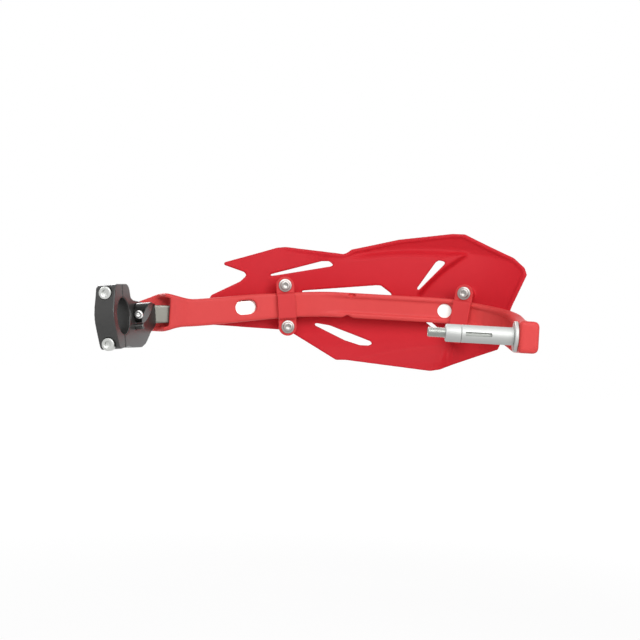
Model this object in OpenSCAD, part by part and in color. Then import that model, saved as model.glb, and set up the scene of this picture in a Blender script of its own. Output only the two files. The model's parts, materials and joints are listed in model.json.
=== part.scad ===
// Motorcycle hand guard, right hand side, seen by the rider from behind.
// Origin: centre of the washer face that the handlebar end butts against.
// X runs along the handlebar, outboard positive. Y points forward. Z points up.

/* [Bar] */
// Length of the straight outer leg, from the plug axis forward
leg_len = 62; // [50:1:80]
// Radius of the outer corner, at the middle of the bar
corner_r = 55; // [45:1:65]
// Length of the straight front run
front_len = 118; // [105:1:140]
// Radius of the long inner bend
bend_r = 150; // [130:1:180]
// Angle of the long inner bend, in degrees
bend_deg = 21; // [19:0.5:23]
// Height that the bar gains from the plug axis to the front run
bar_rise = 18.3; // [12:0.1:24]
// Height that the bar loses again towards the clamp
bar_drop = 17.3; // [11:0.1:23]
// Height of the bar cover on the front run
bar_h = 21.6; // [19:0.1:24]
// Extra height of the bar cover at the outer corner, below its middle line
corner_low = 4.8; // [2:0.1:6]
// Extra height of the bar cover at the outer corner, above its middle line
corner_high = 1.9; // [1:0.1:5]
// Height of the block at the bar end
end_h = 25; // [20:0.5:28]
// Thickness of the bar cover on the front run
bar_t = 13; // [11:0.1:15]
// Thickness of the block at the bar end
end_t = 15.6; // [14:0.1:18]
// Reach of the end block behind the plug axis
end_reach = 12.5; // [12:0.1:16]
// Rounding of the front edges of the bar cover
front_round = 4; // [2:0.1:5]
// Rounding of the rear edges of the bar cover
rear_round = 2; // [1:0.1:3]
// Depth of the channel in the rear face of the bar cover
channel_d = 2; // [1:0.1:2.5]
// Width of the raised flange above and below the channel
flange_w = 3.2; // [2:0.1:5]
// Length along the front run over which the bar has its channel
channel_len = 86; // [60:1:100]

/* [Core] */
// Thickness of the aluminium strip inside the bar cover
core_t = 5; // [4:0.1:6]
// Height of the aluminium strip
core_h = 15; // [12:0.1:17]
// Gap all round between the strip and the cover moulded over it
core_gap = 0.1; // [0.05:0.01:0.3]

/* [Hood] */
// Height of the hood above the bar's middle line
hood_up = 18; // [14:0.1:20]
// Height of the hood below the bar's middle line
hood_down = 14.6; // [12:0.1:17]
// Depth of the hood behind its middle line
hood_back = 10; // [8:0.1:13]
// Wall of the hood
hood_wall = 3; // [2:0.1:4]
// Height of the hood's tip above the bar's middle line
tip_up = 9.5; // [7:0.1:14]

/* [Windows] */
// Length of the slot that shows the strip
slot_len = 19; // [14:0.5:24]
// Height of the slot that shows the strip
slot_h = 12.4; // [8:0.1:13]
// Place of the slot along the bar
slot_s = 322; // [300:1:340]
// Radius of the round window that shows the strip
window_r = 6; // [4:0.1:7]
// Place of the round window along the bar
window_s = 149; // [142:1:160]

/* [Shield] */
// Wall thickness of the shield
shield_t = 2.8; // [2:0.1:4]
// Gap between the front of the bar cover and the shield
shield_gap = 0.5; // [0.3:0.1:2]
// Depth by which the shield leans away from the rider above the bar
lean_away = 7; // [3:0.5:10]
// Depth by which the shield's bottom edge curls back to the rider
curl_down = 5; // [3:0.5:10]
// Depth of the steps below the top flange and beside the short vent
step_d = 5; // [3:0.1:7]
// Radius over which the shield wraps round the outer corner
wrap_r = 115; // [100:1:140]

/* [Brackets] */
// Width of a bracket
bracket_w = 15.4; // [13:0.1:18]
// Thickness of a bracket
bracket_t = 3.6; // [2.5:0.1:5]
// Distance between the two screws of a bracket
screw_gap = 35.5; // [33:0.5:40]
// Place of the inner bracket along the bar
inner_s = 286; // [275:0.5:295]
// Place of the outer bracket along the bar
outer_s = 133.2; // [128:0.5:140]
// Radius of the flanged screw head
screw_head_r = 5.6; // [4.5:0.1:5.7]
// Height of the flanged screw head
screw_head_h = 3; // [2:0.1:4]
// Radius of the screw's shank
screw_r = 2.5; // [2:0.1:3]
// Length of the screw's shank
screw_len = 14; // [10:0.5:15]
// Radius of the boss moulded on the shield
boss_r = 5.4; // [4.5:0.1:5.6]

/* [Plug] */
// Radius of the plug's washer
flange_r = 12; // [10:0.1:14]
// Thickness of the plug's washer
flange_t = 2.9; // [2:0.1:4]
// Radius of the plug's sleeve, a free fit in the handlebar's end
sleeve_r = 7; // [6:0.1:9]
// Length of the plug's sleeve
sleeve_len = 41; // [34:0.5:50]
// Width of a slot in the sleeve
sleeve_slot_w = 2.2; // [1.5:0.1:2.4]
// Length of a slot in the sleeve
sleeve_slot_len = 20.7; // [14:0.1:26]
// Length of the wedge nut
wedge_len = 12.4; // [9:0.1:18]
// Radius of the plug's bolt
plug_bolt_r = 4; // [3:0.1:4.5]
// Length of the bolt's tip beyond the wedge nut
tip_len = 13.3; // [5:0.1:20]
// Radius of the head of the plug's bolt
plug_head_r = 6.5; // [6:0.1:7]

/* [Clamp] */
// Radius of the handlebar that the clamp grips
clamp_r = 14.3; // [11:0.05:14.5]
// Width of the clamp along the handlebar
clamp_w = 16; // [14:0.5:20]
// Half size of the clamp from front to back
ring_half = 22; // [20:0.1:24]
// Distance between the two clamp bolts
clamp_bolt_gap = 39.6; // [39:0.1:42]
// Distance by which the two clamp bolts sit below the handlebar's middle
clamp_bolt_drop = 1.9; // [1:0.1:2]
// Gap between the clamp's cap and body
split = 1.2; // [0.6:0.1:2]
// Thickness of the clamp's arm
arm_t = 8; // [6:0.1:10]
// Swivel of the clamp towards the rider's side, in degrees
swivel = 12; // [10:0.5:13]
// Lean of the clamp in the strip's twist, in degrees
lean = 7; // [5:0.5:9]
// Distance from the handlebar's axis forward to the knuckle
pivot_f = 31; // [30:0.5:34]
// Height of the knuckle above the handlebar's axis
pivot_up = 2.6; // [1:0.1:4]
// Distance from the knuckle's axis to the rounded end of the arm's outer face
arm_reach = 47; // [44:0.5:48]
// Radius of a clamp bolt
clamp_bolt_r = 2.5; // [2:0.1:2.6]
// Radius of a clamp bolt's head
clamp_head_r = 5; // [4.5:0.1:5.2]

/* [Knuckle] */
// Radius of the knuckle
knuckle_r = 8.1; // [7.6:0.1:9]
// Length of the knuckle at its long side
knuckle_len = 12.9; // [12:0.1:15]
// Radius of the pivot bolt
pivot_r = 4; // [3:0.1:4.2]
// Running clearance round the pivot bolt in the arm
pivot_play = 0.08; // [0.03:0.01:0.1]
// Gap between the arm and what turns on it
face_gap = 0.15; // [0.1:0.01:0.3]
// Radius of the knuckle screw's head
lock_head_r = 3.4; // [3:0.1:3.5]
// Radius of the knuckle screw's shank
lock_r = 2; // [1.5:0.1:2.2]

/* [Hidden] */

// Small clearance between a fastener and the hole it passes through or screws into
hole_play = 0.1;
// Overshoot of a cutting solid past the face it opens
over = 1;
red = [0.86, 0.18, 0.19];
zinc = [0.78, 0.79, 0.77];
black = [0.13, 0.13, 0.13];
aluminium = [0.66, 0.66, 0.62];

// Stations along the bar's middle line, counted from the plug axis
s_leg = leg_len;
s_corner = s_leg + corner_r * PI / 2;
s_front = s_corner + front_len;
s_bend = s_front + bend_r * bend_deg * PI / 180;
leg_x = flange_t + end_t / 2;
corner_c = [leg_x - corner_r, leg_len];
bend_c = [corner_c.x - front_len, corner_c.y + corner_r - bend_r];

function smooth(t) = let (c = max(0, min(1, t))) c * c * (3 - 2 * c);
function blend(v, a, b) = smooth((v - a) / (b - a));
function mix(a, b, t) = a + (b - a) * t;
function unit(v) = v / norm(v);
// Outward normal and running direction of the bar where it has turned by an angle
function out(a) = [cos(a), sin(a)];
function run(a) = [-sin(a), cos(a)];

function turn(s) = s < s_leg ? 0
    : s < s_corner ? (s - s_leg) / corner_r * 180 / PI
    : s < s_front ? 90
    : 90 + min((s - s_front) / bend_r * 180 / PI, bend_deg);
function plan(s) = s < s_leg ? [leg_x, s]
    : s < s_corner ? corner_c + corner_r * out(turn(s))
    : s < s_front ? corner_c + [s_corner - s, corner_r]
    : s < s_bend ? bend_c + bend_r * out(turn(s))
    : bend_c + bend_r * out(turn(s)) + (s - s_bend) * run(turn(s));
// Height of the bar's middle line
rise_from = 20;
rise_to = s_corner + 7;
drop_from = s_front - 27;
drop_to = s_bend + 86;
function level(s) = bar_rise * blend(s, rise_from, rise_to) - bar_drop * blend(s, drop_from, drop_to);

// The hood turns outward again in front of the clamp's arm
hood_s = s_bend + 48;
hood_turn_r = 45;
hood_turn_deg = 20;
hood_arc = hood_turn_r * hood_turn_deg * PI / 180;
pocket_s = s_bend + 65;
web_s = pocket_s + 13;
tip_s = pocket_s + 28;
function cover_turn(s) = turn(s) - max(0, min(hood_turn_deg, (s - hood_s) / hood_turn_r * 180 / PI));
function cover_plan(s) = s < hood_s ? plan(s)
    : plan(hood_s) + hood_turn_r * (out(turn(hood_s)) - out(cover_turn(s)))
        + max(0, s - hood_s - hood_arc) * run(cover_turn(s));

// Point of the cover: a station, a distance outward and a height above the middle line
function cover_pt(s, n, z) = let (p = cover_plan(s) + n * out(cover_turn(s))) [p.x, p.y, level(s) + z];
function slope(s) = atan((level(s + 1) - level(s - 1)) / 2);
module at_bar(s) translate([plan(s).x, plan(s).y, level(s)])
    rotate([0, 0, turn(s)]) rotate([slope(s), 0, 0]) children();

// Half heights and half thicknesses of the cover's section
half_h = bar_h / 2;
// Extra height of the cover's top between the long bend and the hood
neck_up = 1.4;
function swell(s, extra) = (end_h - bar_h) / 2 * (1 - blend(s, 30, 60))
    + extra * blend(s, 15, 75) * (1 - blend(s, 72, s_corner - 24));
function top_z(s) = half_h + swell(s, corner_high)
    + (hood_up - half_h) * blend(s, pocket_s - 19, pocket_s + 7)
    - (hood_up - tip_up) * blend(s, pocket_s + 7, tip_s + 4)
    + neck_up * blend(s, s_front + 20, s_bend) * (1 - blend(s, pocket_s - 19, pocket_s + 7));
function bottom_z(s) = -half_h - swell(s, corner_low)
    - (hood_down - half_h) * blend(s, pocket_s - 11, pocket_s + 7);
hood_front = 8;
function front_n(s) = mix(end_t, bar_t, blend(s, 14, 40)) / 2
    + (hood_front - bar_t / 2) * blend(s, pocket_s - 16, pocket_s);
function rear_n(s) = -mix(end_t, bar_t, blend(s, 14, 40)) / 2
    - (hood_back - bar_t / 2) * blend(s, pocket_s - 16, pocket_s)
    + (hood_back + hood_front - hood_wall) * blend(s, pocket_s + 3, web_s);
// Depth of the hollow in the rear face: the shallow channel, and the hood's pocket
channel_from = 24;
channel_end = s_corner + channel_len;
channel_fade = 24;
function hollow(s) = s < pocket_s
    ? channel_d * blend(s, channel_from, channel_from + 10)
        * (1 - blend(s, channel_end - 6, channel_end + channel_fade))
    : front_n(s) - rear_n(s) - hood_wall;
function rim(s) = s < pocket_s ? flange_w : hood_wall;

corner_steps = 3;
function arc_pts(n, z, r, from) = [for (k = [0 : corner_steps])
    [n + r * cos(from + 90 * k / corner_steps), z + r * sin(from + 90 * k / corner_steps)]];
function section(s, inset = 0) = let (
    a = front_n(s) - inset, b = rear_n(s) + inset, t = top_z(s) - inset, u = bottom_z(s) + inset,
    w = (a - b) / 2, rf = min(front_round, w * 0.9), rr = min(rear_round, w * 0.9),
    d = hollow(s), m = rim(s), slope = min(1.2, d * 0.6 + 0.05)) concat(
    arc_pts(a - rf, u + rf, rf, -90),
    arc_pts(a - rf, t - rf, rf, 0),
    arc_pts(b + rr, t - rr, rr, 90),
    [[b, t - m - rr * 0.2], [b + d, t - m - rr * 0.2 - slope]],
    [[b + d, u + m + rr * 0.2 + slope], [b, u + m + rr * 0.2]],
    arc_pts(b + rr, u + rr, rr, 180));

// Skin of a tube that joins rings of equal length, closed by a fan at each end
function tube_faces(rings, n) = concat(
    [for (i = [0 : rings - 2], j = [0 : n - 1]) let (k = (j + 1) % n) each
        [[i * n + j, i * n + k, (i + 1) * n + j], [i * n + k, (i + 1) * n + k, (i + 1) * n + j]]],
    [for (j = [1 : n - 2]) [0, j + 1, j]],
    [for (j = [1 : n - 2]) let (o = (rings - 1) * n) [o, o + j, o + j + 1]]);

leg_steps = 6;
corner_rings = 12;
front_rings = 7;
bend_rings = 8;
// Rings round off the bar's end over this radius
edge_round = 3;
edge_rings = 3;
cover_stations = concat(
    [for (k = [0 : leg_steps - 1]) mix(edge_round - end_reach, s_leg, pow(k / leg_steps, 1.2))],
    [for (k = [0 : corner_rings - 1]) mix(s_leg, s_corner, k / corner_rings)],
    [for (k = [0 : front_rings - 1]) mix(s_corner, channel_end - 6, k / front_rings)],
    [for (k = [0 : 4]) channel_end - 6 + k * (channel_fade + 6) / 4],
    [for (k = [0 : bend_rings - 1]) mix(s_front, s_bend, k / bend_rings)],
    [s_bend, s_bend + 15, s_bend + 30, s_bend + 42],
    [for (k = [0 : 4]) hood_s + k * hood_arc / 4],
    [pocket_s - 0.01, pocket_s + 0.8, pocket_s + 4, pocket_s + 7, pocket_s + 10, web_s, web_s + 6, tip_s]);
cover_rings = concat(
    [for (k = [0 : edge_rings - 1]) let (a = 90 * k / edge_rings, s = edge_round * (1 - cos(a)) - end_reach)
        [for (p = section(s, edge_round * (1 - sin(a)))) cover_pt(s, p.x, p.y)]],
    [for (s = cover_stations) [for (p = section(s)) cover_pt(s, p.x, p.y)]]);

// The clamp's own frame: X along the handlebar outward, Y forward along the arm, Z up its bolts
clamp_x = [cos(swivel) * cos(lean), -sin(swivel) * cos(lean), sin(lean)];
clamp_y = [sin(swivel), cos(swivel), 0];
clamp_z = [-cos(swivel) * sin(lean), sin(swivel) * sin(lean), cos(lean)];
// The clamp sits where the strip's bar run passes just in front of the end of its arm
meet_s = s_bend + 76.6;
meet_f = pivot_f + arm_reach + 3.7;
clamp_at = [plan(meet_s).x, plan(meet_s).y, level(meet_s)] - meet_f * clamp_y - pivot_up * clamp_z;
function clamp_pt(p) = clamp_at + p.x * clamp_x + p.y * clamp_y + p.z * clamp_z;
module in_clamp() translate(clamp_at) rotate([0, -lean, -swivel]) children();
module at_pivot() in_clamp() translate([0, pivot_f, pivot_up]) children();

// The strip's middle line: along the bar, round the arm's end and flat along the arm's far side
strip_x = -arm_t - face_gap - core_t / 2;
elbow_s = meet_s + 7;
elbow_f = pivot_f + arm_reach - 16;
elbow_pull = 7;
elbow_p = [[plan(elbow_s).x, plan(elbow_s).y, level(elbow_s)], clamp_pt([strip_x, elbow_f, pivot_up])];
elbow_t = [[run(turn(elbow_s)).x, run(turn(elbow_s)).y, 0], -clamp_y];
function elbow(t) = let (a = elbow_p[0], d = elbow_p[1], b = a + elbow_pull * elbow_t[0],
        c = d - elbow_pull * elbow_t[1], u = 1 - t)
    u * u * u * a + 3 * u * u * t * b + 3 * u * t * t * c + t * t * t * d;
function strip_ring(p, n, up, t, h) = [for (c = [[-1, -1], [1, -1], [1, 1], [-1, 1]])
    p + n * c.x * t / 2 + up * c.y * h / 2];
function bar_ring(s, t, h) = strip_ring([plan(s).x, plan(s).y, level(s)],
    [out(turn(s)).x, out(turn(s)).y, 0], [0, 0, 1], t, h);
function elbow_ring(k, t, h) = let (e = 0.01, v = unit(elbow(min(1, k + e)) - elbow(max(0, k - e))),
        up = unit(mix([0, 0, 1], clamp_z, smooth(k))), n = unit(cross(v, up)))
    strip_ring(elbow(k), n, cross(n, v), t, h);
core_start = -end_reach + 4;
elbow_rings = 8;
core_stations = concat(
    [for (k = [0 : leg_steps - 1]) mix(core_start, s_leg, k / leg_steps)],
    [for (k = [0 : corner_rings - 1]) mix(s_leg, s_corner, k / corner_rings)],
    [for (k = [0 : front_rings]) mix(s_corner, s_front, k / (front_rings + 1))],
    [for (k = [0 : bend_rings - 1]) mix(s_front, s_bend, k / bend_rings)],
    [s_bend, s_bend + 20, s_bend + 40, s_bend + 56, pocket_s + 4]);
function core_rings(t, h) = [for (s = core_stations) bar_ring(s, t, h)];
strip_rings = concat(core_rings(core_t, core_h),
    [for (k = [0 : elbow_rings]) elbow_ring(k / elbow_rings, core_t, core_h)],
    [strip_ring(clamp_pt([strip_x, pivot_f + 2, pivot_up]), -clamp_x, clamp_z, core_t - 0.1, core_h - 0.2)]);
// The strip ends in an eye, a little wider than the strip, round the pivot bolt
eye_r = core_h / 2 + 0.3;

module tube(rings) polyhedron([for (r = rings, p = r) p], tube_faces(len(rings), len(rings[0])));

module bar_core() color(aluminium) difference() {
    union() {
        tube(strip_rings);
        at_pivot() translate([strip_x - core_t / 2, 0, 0]) rotate([0, 90, 0]) cylinder(h = core_t, r = eye_r);
    }
    at_pivot() translate([strip_x - core_t, 0, 0]) rotate([0, 90, 0])
        cylinder(h = 2 * core_t, r = pivot_r + hole_play);
    rotate([0, 90, 0]) cylinder(h = 2 * end_t, r = plug_bolt_r + hole_play);
}

// Windows and holes of the bar cover
slot_up = 1.6;
module window(s, len, h, z = 0) at_bar(s) translate([-(core_t + core_gap) / 2, 0, z])
    rotate([0, -90, 0]) linear_extrude(bar_t) hull()
        for (y = [-1, 1]) translate([0, y * (len - h) / 2]) circle(r = h / 2, $fn = 32);
module notch(s, z, w, d) at_bar(s) translate([-bar_t / 2 + channel_d + 1, 0, z]) rotate([0, -90, 0])
    linear_extrude(bar_t) polygon([[0, -w / 2], [0, w / 2], [-d * sign(z), 0]]);
seat_x = leg_x + core_t / 2 + core_gap;

module bar_cover() color(red) difference() {
    tube(cover_rings);
    tube(core_rings(core_t + 2 * core_gap, core_h + 2 * core_gap));
    window(slot_s, slot_len, slot_h, slot_up);
    window(window_s, 2 * window_r + 0.01, 2 * window_r);
    notch(channel_end + 3, half_h, 10.2, 4);
    notch(channel_end + 6, -half_h, 12, 2.6);
    rotate([0, 90, 0]) cylinder(h = seat_x, r = plug_bolt_r + hole_play);
    translate([seat_x, 0, 0]) rotate([0, 90, 0]) cylinder(h = end_t, r = plug_head_r + 1.5);
}

// Depth of the shield's rear face behind a point of its outline
band_y = corner_c.y + corner_r + bar_t / 2 + shield_gap;
bend_x = corner_c.x - front_len;
shield_bend_r = bend_r + bar_t / 2 + shield_gap;
wrap_x = corner_c.x;
function band_z(x) = level(x > wrap_x ? s_corner - (x - wrap_x) * 1.05
    : x > bend_x ? s_corner + wrap_x - x : s_front + (bend_x - x) * 1.03);
tail_x = bend_x - shield_bend_r * sin(bend_deg);
tail_y = bend_c.y + shield_bend_r * cos(bend_deg);
function base_y(x) = x < tail_x ? tail_y + (x - tail_x) * tan(bend_deg)
    : x < bend_x ? bend_c.y + sqrt(shield_bend_r * shield_bend_r - (x - bend_x) * (x - bend_x))
    : x > wrap_x ? band_y - (x - wrap_x) * (x - wrap_x) / 2 / wrap_r : band_y;
// The shield is drawn for one place of the corner and the bend, and follows them
drawn_wrap = -44.3;
drawn_run = 118;
drawn_rise = 18.3;
lift = bar_rise - drawn_rise;
function along(x) = x > drawn_wrap ? x + wrap_x - drawn_wrap
    : x < drawn_wrap - drawn_run ? x + wrap_x - drawn_wrap + drawn_run - front_len
    : wrap_x + (x - drawn_wrap) * front_len / drawn_run;
function placed(shape) = [for (p = shape) [along(p.x), p.y + lift]];
// Lines across the shield: the top flange's fold, the ledge over the panel and the lower crease
fold_x = along(-48);
ledge_x = along(-62);
crease_x = along(5);
corner_fold = along(-41);
function fold_z(x) = lift + 71 - min(26, (x - fold_x) * (x - fold_x) / (x < fold_x ? 690 : 520));
function ledge_z(x) = min(fold_z(x) - 2, lift + 65.2 - min(26, (x - ledge_x) * (x - ledge_x) / 560)
    + 6 * blend(x, along(-45), along(-30)));
function crease_z(x) = lift - 8 - min(22, (x - crease_x) * (x - crease_x) * 0.00125);
ledge_w = 2.4;
band_half = 13;
slant = 1.05;
slant_at = [along(-69.6), lift + 31.7];
slant_w = 7.4;
slant_bow = 3.3;
lean_top = lift + 73;
span_up = 54;
span_down = 38;
ledge_from = along(-132);
// Slopes of the top flange and of the lower flange back to the rider
flange_slope = 0.62;
crease_slope = 0.22;
function slant_line(z) = slant * max(0, min(z, lean_top) - slant_at.y)
    - slant_bow * max(0, 1 - pow((z - slant_at.y - 17) / 17, 2));
function side_of_slant(x, z) = x - slant_at.x - slant_line(z);
function ledge_step(x, z) = blend(z, ledge_z(x) - ledge_w / 2, fold_z(x) + 0.5)
    * blend(x, ledge_from - 4, ledge_from + 24);
function slant_step(x, z) = blend(side_of_slant(x, z), 0, slant_w) * blend(z, band_z(x) - 2, band_z(x) + 9);
function above(v, soft) = let (c = max(0, v)) c * c / (c + soft);
function shield_y(x, z) = base_y(x)
    + lean_away * pow(max(0, z - band_z(x) - band_half) / span_up, 2)
    - curl_down * pow(max(0, band_z(x) - band_half - z) / span_down, 2)
    - crease_slope * above(crease_z(x) - z, 1.5) * mix(1, -0.5, blend(x, corner_fold - 9, corner_fold + 8))
    - flange_slope * above(z - fold_z(x), 1.5) * blend(x, ledge_from - 36, ledge_from + 16)
    + step_d * (1 - (1 - ledge_step(x, z)) * (1 - slant_step(x, z)));

shield_lo = along(-262);
shield_hi = along(34);
shield_z0 = lift - 42;
shield_z1 = lift + 97;
col_step = 5.5;
shield_cols = concat([for (x = [shield_lo : col_step : slant_at.x - 3]) x],
    [for (k = [0 : 3]) slant_at.x + k * slant_w / 4],
    [for (x = [slant_at.x + slant_w : col_step : shield_hi - 3]) x], [shield_hi]);
// Columns of the grid lean over so that they run along the slanting step
function lean_of(x) = x < slant_at.x ? blend(x, along(-190), slant_at.x)
    : 1 - blend(x, slant_at.x + slant_w, shield_hi);
function shield_x(x, z) = x + lean_of(x) * slant_line(z);
// Height at which a leaning column crosses the ledge's line and the fold's line
function on_ledge(x, z = slant_at.y + 30, n = 7) = n == 0 ? z : on_ledge(x, ledge_z(shield_x(x, z)), n - 1);
function on_fold(x, z = slant_at.y + 36, n = 7) = n == 0 ? z : on_fold(x, fold_z(shield_x(x, z)), n - 1);
function row_zs(x) = let (c = crease_z(x), lo = band_z(x) - band_half, hi = band_z(x) + band_half,
        l = on_ledge(x), h = ledge_w / 2, f = max(on_fold(x), l + h + 0.6))
    concat([shield_z0, (shield_z0 + c) / 2, c - 2, c], [for (k = [1 : 3]) mix(c, lo, k / 3)],
        [band_z(x), band_z(x) + 7],
        [for (k = [0 : 7]) mix(hi, l - h, k / 7)], [mix(l - h, f, 0.35), mix(l - h, f, 0.7), f, f + 2.5],
        [for (k = [1 : 3]) mix(f + 2.5, shield_z1, k / 3)]);
shield_rows = len(row_zs(0));
function shield_side(dy) = [for (x = shield_cols, z = row_zs(x))
    let (p = shield_x(x, z)) [p, shield_y(p, z) + dy, z]];
function grid_faces(cols, rows, o, flip) = [for (i = [0 : cols - 2], j = [0 : rows - 2])
    let (a = o + i * rows + j, b = a + rows, c = b + 1, d = a + 1)
    each (flip ? [[a, c, b], [a, d, c]] : [[a, b, c], [a, c, d]])];
function rim_loop(cols, rows) = concat([for (i = [0 : cols - 1]) i * rows],
    [for (j = [1 : rows - 1]) (cols - 1) * rows + j],
    [for (i = [cols - 2 : -1 : 0]) i * rows + rows - 1],
    [for (j = [rows - 2 : -1 : 1]) j]);
module shield_slab() {
    cols = len(shield_cols);
    count = cols * shield_rows;
    loop = rim_loop(cols, shield_rows);
    polyhedron(concat(shield_side(0), shield_side(shield_t)), concat(
        grid_faces(cols, shield_rows, 0, true), grid_faces(cols, shield_rows, count, false),
        [for (k = [0 : len(loop) - 1]) let (a = loop[k], b = loop[(k + 1) % len(loop)]) each
            [[a, b, b + count], [a, b + count, a + count]]]));
}

// Outline and vents of the shield, as X and Z
corner_round = 1.4;
vent_round = 0.7;
shield_outline = [[-240, 47.7], [-192, 65], [-184.5, 66.1], [-133, 62.7], [-127.3, 67.2], [-87, 78.2],
    [-40.4, 85.9], [-29.6, 86.1], [13.2, 67.4], [22.2, 59.2], [24.2, 53.2], [13, 24.8], [5.2, -7],
    [3.2, -12.6], [-45.5, -32.6], [-54.1, -34.3], [-127.8, -29.1], [-135.6, -29.6], [-174.9, -8.4],
    [-187.1, -6.1], [-253.4, -5.1], [-245.8, 20], [-221.8, 33.6], [-217.1, 39.1], [-218.9, 41.6]];
vent_top = [[-199.6, 40.3], [-153, 55.3], [-146.3, 55.7], [-142.1, 52.4], [-144.7, 51.4], [-198, 39.4]];
vent_long = [[-172.8, 28.2], [-104.2, 37.1], [-100.3, 37.1], [-90.8, 30.6], [-90.6, 26], [-150, 24]];
vent_slant = [[-69.3, 35.7], [-53.5, 60.3], [-50.9, 61.9], [-45.3, 61.1], [-45.9, 59.1], [-67.4, 35.1]];
vent_small = [[-61.2, 9.1], [-56.5, 9.1], [-38, -4.5], [-43, -5]];
vent_low = [[-158.5, 0.7], [-154.7, 1.3], [-142.9, 0], [-121.6, -6.9], [-106.6, -11.8], [-104.9, -13.7],
    [-107.9, -15.4], [-115.7, -15.5], [-129.1, -12]];
vents = [vent_top, vent_long, vent_slant, vent_small, vent_low];

// A bracket's frame: X outward from the bar, Y along it, Z up
lug_n = -bar_t / 2 + 2;
strap_n = -bar_t / 2 - 1;
bracket_z = -0.6;
module boss(s, side) {
    at = cover_pt(s, 0, bracket_z + side * screw_gap / 2);
    reach = shield_y(at.x, at.z) - at.y + shield_t / 2;
    at_bar(s) translate([lug_n, 0, bracket_z + side * screw_gap / 2]) rotate([0, 90, 0])
        cylinder(h = reach / sin(turn(s)) - lug_n, r = boss_r);
}
module pilot(s, side) at_bar(s) translate([lug_n - over, 0, bracket_z + side * screw_gap / 2])
    rotate([0, 90, 0]) cylinder(h = screw_len - bracket_t + over + 0.5, r = screw_r + hole_play);

module shield() color(red) difference() {
    union() {
        intersection() {
            shield_slab();
            rotate([90, 0, 0]) translate([0, 0, -160]) linear_extrude(100) difference() {
                offset(r = corner_round) offset(delta = -corner_round) polygon(placed(shield_outline));
                for (v = vents) offset(r = vent_round) offset(delta = -vent_round) polygon(placed(v));
            }
        }
        for (s = [inner_s, outer_s], side = [-1, 1]) boss(s, side);
    }
    for (s = [inner_s, outer_s], side = [-1, 1]) pilot(s, side);
}

// A bracket is a hat shaped strap with round lugs
hat_half = bar_h / 2 + 0.9;
module bracket(s) at_bar(s) translate([0, 0, bracket_z]) difference() {
    intersection() {
        translate([0, bracket_w / 2, 0]) rotate([90, 0, 0]) linear_extrude(bracket_w) polygon([
            [lug_n, -screw_gap], [lug_n, -hat_half], [strap_n, -hat_half], [strap_n, hat_half],
            [lug_n, hat_half], [lug_n, screw_gap], [lug_n - bracket_t, screw_gap],
            [lug_n - bracket_t, hat_half + 0.3], [strap_n - bracket_t, hat_half - 1.6],
            [strap_n - bracket_t, 1.6 - hat_half], [lug_n - bracket_t, -0.3 - hat_half],
            [lug_n - bracket_t, -screw_gap]]);
        rotate([0, 90, 0]) translate([0, 0, -bar_t * 2]) linear_extrude(bar_t * 4) union() {
            for (side = [-1, 1]) translate([side * screw_gap / 2, 0]) circle(r = bracket_w / 2);
            square([screw_gap, bracket_w], center = true);
        }
    }
    for (side = [-1, 1]) translate([lug_n - bracket_t - over, 0, side * screw_gap / 2]) rotate([0, 90, 0])
        cylinder(h = bracket_t + 2 * over, r = screw_r + hole_play);
}
module bracket_inner() color(red) bracket(inner_s);
module bracket_outer() color(red) bracket(outer_s);

// A screw with a flanged head and a six sided socket, driven from the rider's side
module bracket_screw(s, side) color(zinc)
    at_bar(s) translate([lug_n - bracket_t, 0, bracket_z + side * screw_gap / 2]) rotate([0, 90, 0]) difference() {
        union() {
            cylinder(h = screw_len, r = screw_r);
            rotate_extrude() polygon([[0, 0], [screw_head_r, 0], [screw_head_r, -1],
                [screw_head_r - 0.8, -1.6],
                [screw_head_r - 1.4, -screw_head_h], [0, -screw_head_h]]);
        }
        translate([0, 0, -screw_head_h - over]) cylinder(h = screw_head_h - 0.8 + over, r = 2.6, $fn = 6);
    }
module screw_inner_upper() bracket_screw(inner_s, 1);
module screw_inner_lower() bracket_screw(inner_s, -1);
module screw_outer_upper() bracket_screw(outer_s, 1);
module screw_outer_lower() bracket_screw(outer_s, -1);

// The expanding plug that holds the bar end in the handlebar
cone_len = 3;
module plug_washer() color(zinc) rotate([0, 90, 0]) difference() {
    cylinder(h = flange_t, r = flange_r);
    translate([0, 0, -over]) cylinder(h = flange_t + 2 * over, r = plug_bolt_r + hole_play);
}
module plug_sleeve() color(zinc) rotate([0, -90, 0]) difference() {
    cylinder(h = sleeve_len, r = sleeve_r);
    translate([0, 0, -over]) cylinder(h = sleeve_len + 2 * over, r = plug_bolt_r + hole_play);
    translate([0, 0, sleeve_len - cone_len])
        cylinder(h = cone_len + 0.01, r1 = plug_bolt_r + hole_play, r2 = sleeve_r - 0.8);
    for (a = [-90, 90]) rotate([0, 0, a])
        translate([0, -sleeve_slot_w / 2, sleeve_len - 3 - sleeve_slot_len])
            cube([2 * sleeve_r, sleeve_slot_w, sleeve_slot_len]);
}
module plug_wedge() color(zinc) rotate([0, -90, 0]) translate([0, 0, sleeve_len]) difference() {
    union() {
        translate([0, 0, hole_play]) cylinder(h = wedge_len - 1 - hole_play, r = sleeve_r);
        translate([0, 0, wedge_len - 1]) cylinder(h = 1, r1 = sleeve_r, r2 = sleeve_r - 1);
        translate([0, 0, hole_play - cone_len + 1])
            cylinder(h = cone_len - 1, r1 = plug_bolt_r + 0.6, r2 = sleeve_r - 1.2);
    }
    translate([0, 0, -cone_len]) cylinder(h = wedge_len + 2 * cone_len, r = plug_bolt_r + hole_play);
}
bolt_seat_x = seat_x + 1.4;
module plug_bolt_washer() color(zinc) translate([seat_x - core_gap, 0, 0]) rotate([0, 90, 0]) difference() {
    cylinder(h = 1.5, r = plug_head_r + 1);
    translate([0, 0, -over]) cylinder(h = 4, r = plug_bolt_r + hole_play);
}
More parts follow.
